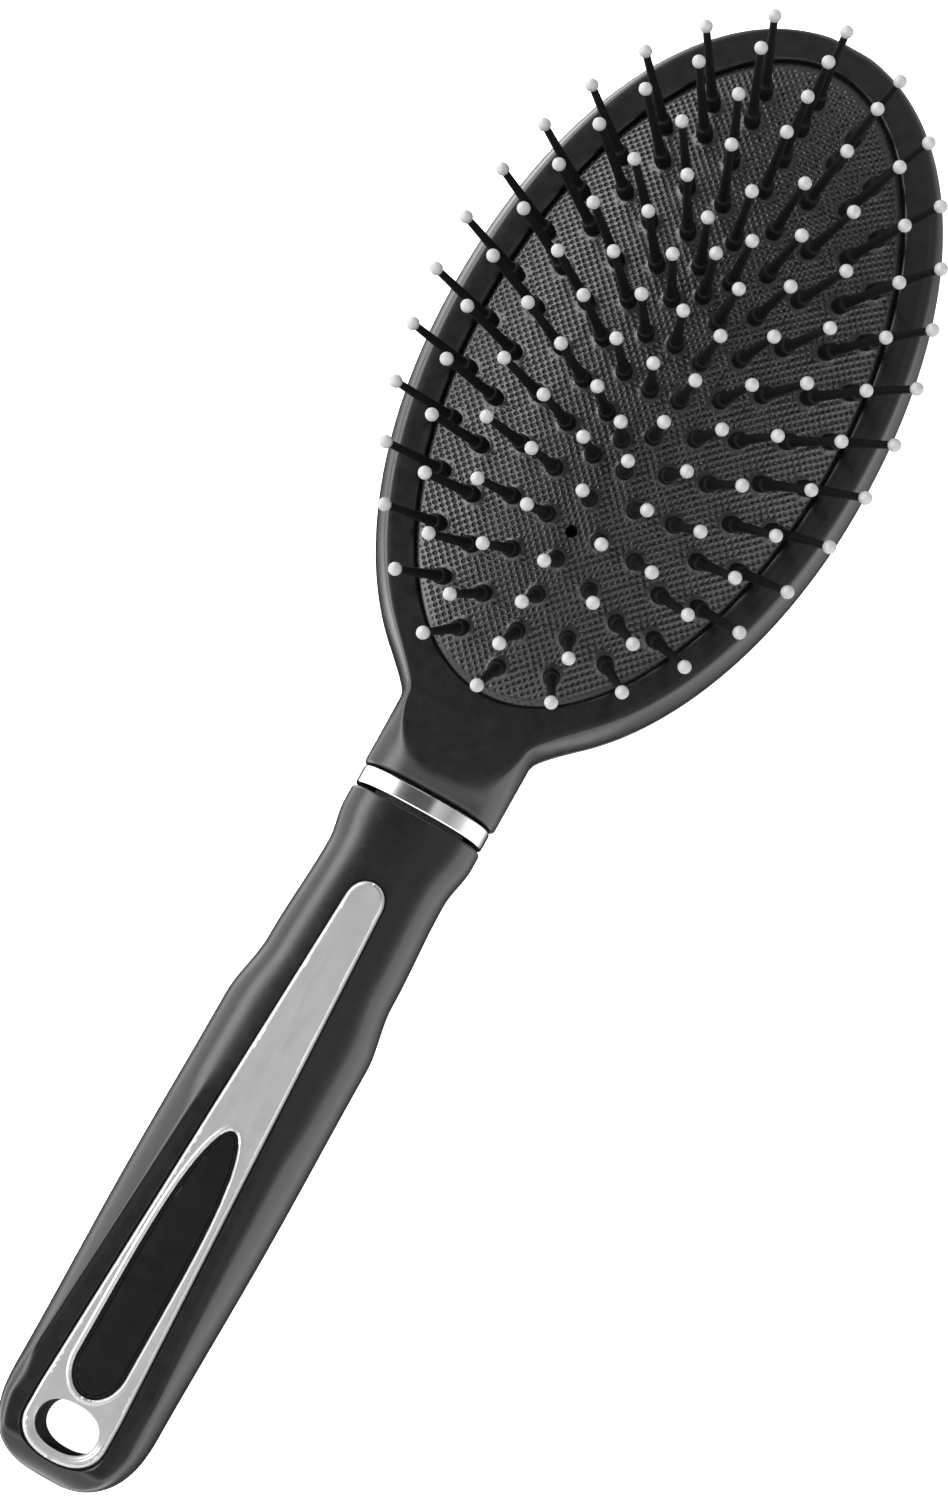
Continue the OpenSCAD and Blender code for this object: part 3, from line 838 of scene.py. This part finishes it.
# ---- Stage --------------------------------------------------------------------------------------
def floor():
    """A white floor that curves up all round. It neither shades nor lights the brush."""
    reach, curve, wall, below = 3000, 1000, 5000, -0.5
    sweep = [(1, below), (reach, below)] + arc(reach, curve + below, curve, -90, 0, 12)
    points, (centre, _, *sides) = lathe(sweep + [(reach + curve, wall)], 96)
    obj = mesh_object("floor", points, [centre] + sides)
    obj.visible_diffuse = False
    obj.visible_glossy = False
    obj.visible_shadow = False
    material = new_material("floor_paper", (0.9, 0.9, 0.9), 0.9, specular=0.0)
    shader = material.node_tree.nodes["Principled BSDF"]
    shader.inputs["Emission Color"].default_value = (1, 1, 1, 1)
    shader.inputs["Emission Strength"].default_value = 1.0
    obj.data.materials.append(material)


def ramp(nodes, stops):
    """A grey ramp over -1 to 1 from pairs of place and value."""
    node = nodes.new("ShaderNodeValToRGB")
    elements = node.color_ramp.elements
    while len(elements) < len(stops):
        elements.new(0.5)
    for element, (place, value) in zip(elements, stops):
        element.position = (place + 1) / 2
        element.color = (value, value, value, 1)
    return node


def studio():
    """Light from all round, as in a light tent.

    Each ramp gives the brightness against how far a direction points along an axis. The walls are
    bright at the left and the right, with a dark gap over the lens, and kept to the middle by span.
    The ends light the tip and the grip's end, the height dims what is below, and the flag shades
    the low left.
    """
    world = bpy.data.worlds.new("studio")
    bpy.context.scene.world = world
    world.use_nodes = True
    nodes, links = world.node_tree.nodes, world.node_tree.links
    nodes["Background"].inputs["Color"].default_value = (1, 1, 1, 1)
    direction = nodes.new("ShaderNodeTexCoord")

    def along(axis, stops):
        """Brightness against how far a direction points along an axis, -1 to 1."""
        reach = nodes.new("ShaderNodeVectorMath")
        reach.operation = "DOT_PRODUCT"
        reach.inputs[1].default_value = axis
        links.new(direction.outputs["Generated"], reach.inputs[0])
        shift = nodes.new("ShaderNodeMapRange")
        shift.inputs["From Min"].default_value = -1
        links.new(reach.outputs["Value"], shift.inputs["Value"])
        level = ramp(nodes, stops)
        links.new(shift.outputs["Result"], level.inputs["Fac"])
        return level.outputs["Color"]

    def join(operation, a, b):
        node = nodes.new("ShaderNodeMath")
        node.operation = operation
        links.new(a, node.inputs[0])
        links.new(b, node.inputs[1])
        return node.outputs["Value"]

    walls = along((1, 0, 0), [
        (-1, 2), (-0.9, 2), (-0.8, 5), (-0.72, 6.5), (-0.6, 6.5), (-0.44, 1.2), (-0.34, 0.3),
        (-0.2, 0.12), (-0.03, 0.12), (0.02, 0.75), (0.3, 0.45), (0.6, 0.8), (0.75, 1.3),
        (0.88, 2.4), (1, 2.3)])
    span = along((0, 1, 0), [(-1, 0.3), (-0.7, 0.3), (-0.45, 1), (0.45, 1), (0.7, 0.3), (1, 0.3)])
    ends = along((0, 1, 0), [
        (-1, 1.2), (-0.7, 1.6), (-0.55, 2.6), (-0.4, 2.2), (-0.28, 0.4), (-0.2, 0.1),
        (0.3, 0.1), (0.6, 0.5), (1, 0.8)])
    height = along((0, 0, 1), [
        (-1, 0.05), (-0.95, 0.05), (-0.9, 0.45), (-0.77, 0.75), (-0.5, 0.95), (-0.2, 1.1),
        (0, 1.2), (0.45, 1.2), (0.6, 1.1), (0.8, 1), (1, 1)])
    flag = along((-0.5, 0, -0.86), [(-1, 1), (0.8, 1), (0.9, 0.6), (0.96, 0.15), (1, 0.08)])
    sides = join("MULTIPLY", walls, span)
    light = join("MULTIPLY", join("MAXIMUM", sides, ends), join("MULTIPLY", height, flag))
    links.new(light, nodes["Background"].inputs["Strength"])


def camera():
    """The photograph's view, as solved from its outline: rolled, and tilted a little."""
    roll = Matrix.Rotation(math.radians(-30), 3, "Z")
    tilt = Vector((-0.1786, 0.0056, 0.0160))
    turn = Matrix.Rotation(tilt.length, 3, tilt.normalized()) @ roll
    data = bpy.data.cameras.new("camera")
    data.sensor_fit = "VERTICAL"
    data.sensor_height = 36
    data.lens = 82.38
    obj = bpy.data.objects.new("camera", data)
    obj.matrix_world = turn.transposed().to_4x4()
    obj.location = (0.0439, -0.07945, 0.50177)
    bpy.context.scene.collection.objects.link(obj)
    bpy.context.scene.camera = obj


bpy.context.scene.view_settings.view_transform = "Standard"
camera()
floor()
studio()
shell_plastic = moulded_plastic("head_plastic", 0.004, 0.26)
grip_plastic = moulded_plastic("grip_plastic", 0.004, 0.25)
pin_nylon = moulded_plastic("pin_nylon", 0.003, 0.6, specular=0.15)
inner_plastic = moulded_plastic("inner_plastic", 0.06, 0.5)
head_front(shell_plastic)
head_back(moulded_plastic("back_plastic", 0.005, 0.26))
cushion(rubber())
pins(pin_nylon, tip_enamel())
collar(chrome())
grip_front(grip_plastic)
grip_back(grip_plastic)
trim(satin_metal())
insert(moulded_plastic("insert_plastic", 0.003, 0.32, specular=0.22))
# These two CAD nodes are hidden inside the brush and stand as they are
for node in ("handle_core", "membrane_retainer"):
    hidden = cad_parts[node]
    hidden.data.materials.clear()
    hidden.data.materials.append(inner_plastic)
